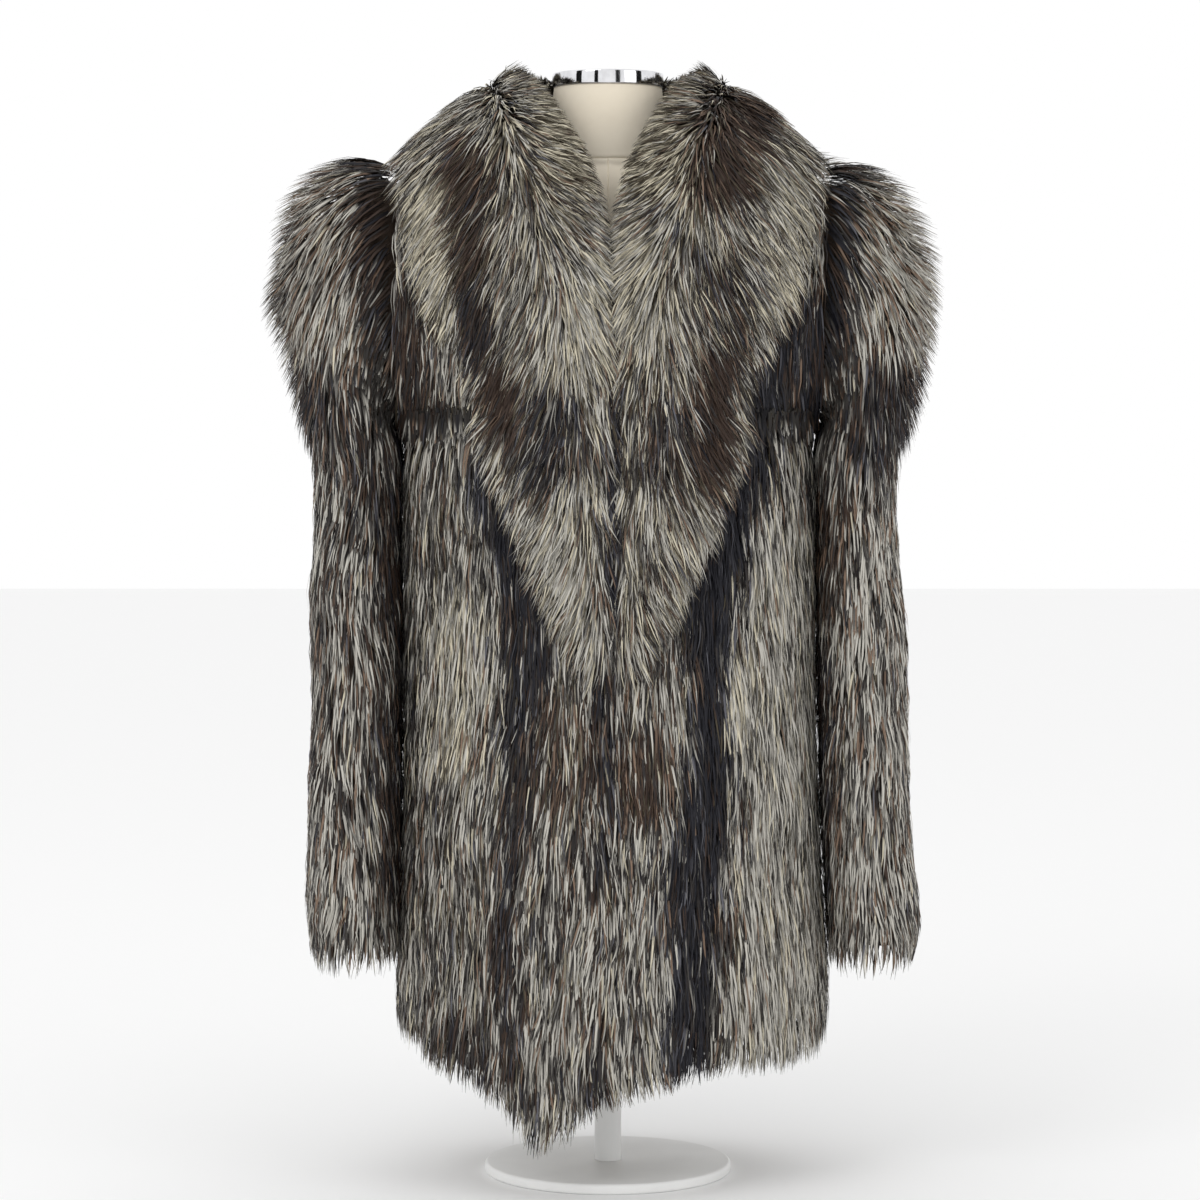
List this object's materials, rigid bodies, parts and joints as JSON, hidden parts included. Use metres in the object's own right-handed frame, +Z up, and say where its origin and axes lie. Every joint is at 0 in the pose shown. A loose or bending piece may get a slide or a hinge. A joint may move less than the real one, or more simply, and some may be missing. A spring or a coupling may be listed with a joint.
{
  "type": "fur coat on a limbless dress form",
  "caption": "Thigh-length silver fox coat with a shawl collar and full sleeves, on a limbless linen dress form with a round stand.",
  "frame": {"origin": "on the floor, at the centre of the stand base's underside", "axes": "+Z up, the front of the coat faces -Y, +X is the wearer's left"},
  "size_m": [0.5963, 0.3538, 1.0218],
  "materials": {
    "fox_fur": "long silver and black fox fur, combed down",
    "pelt_leather": "plain inner side of the pelts, matt",
    "form_linen": "plain linen, matt",
    "cap_chrome": "polished chrome",
    "stand_paint": "satin off-white paint"
  },
  "bodies": {
    "root": {"front_right": "fox_fur", "front_left": "fox_fur", "back": "fox_fur", "sleeve_right": "fox_fur", "sleeve_left": "fox_fur", "collar_right": "fox_fur", "collar_left": "fox_fur", "form_torso": "form_linen", "neck_cap": "cap_chrome", "stand_base": "stand_paint", "stand_post": "stand_paint"}
  },
  "joints": []
}
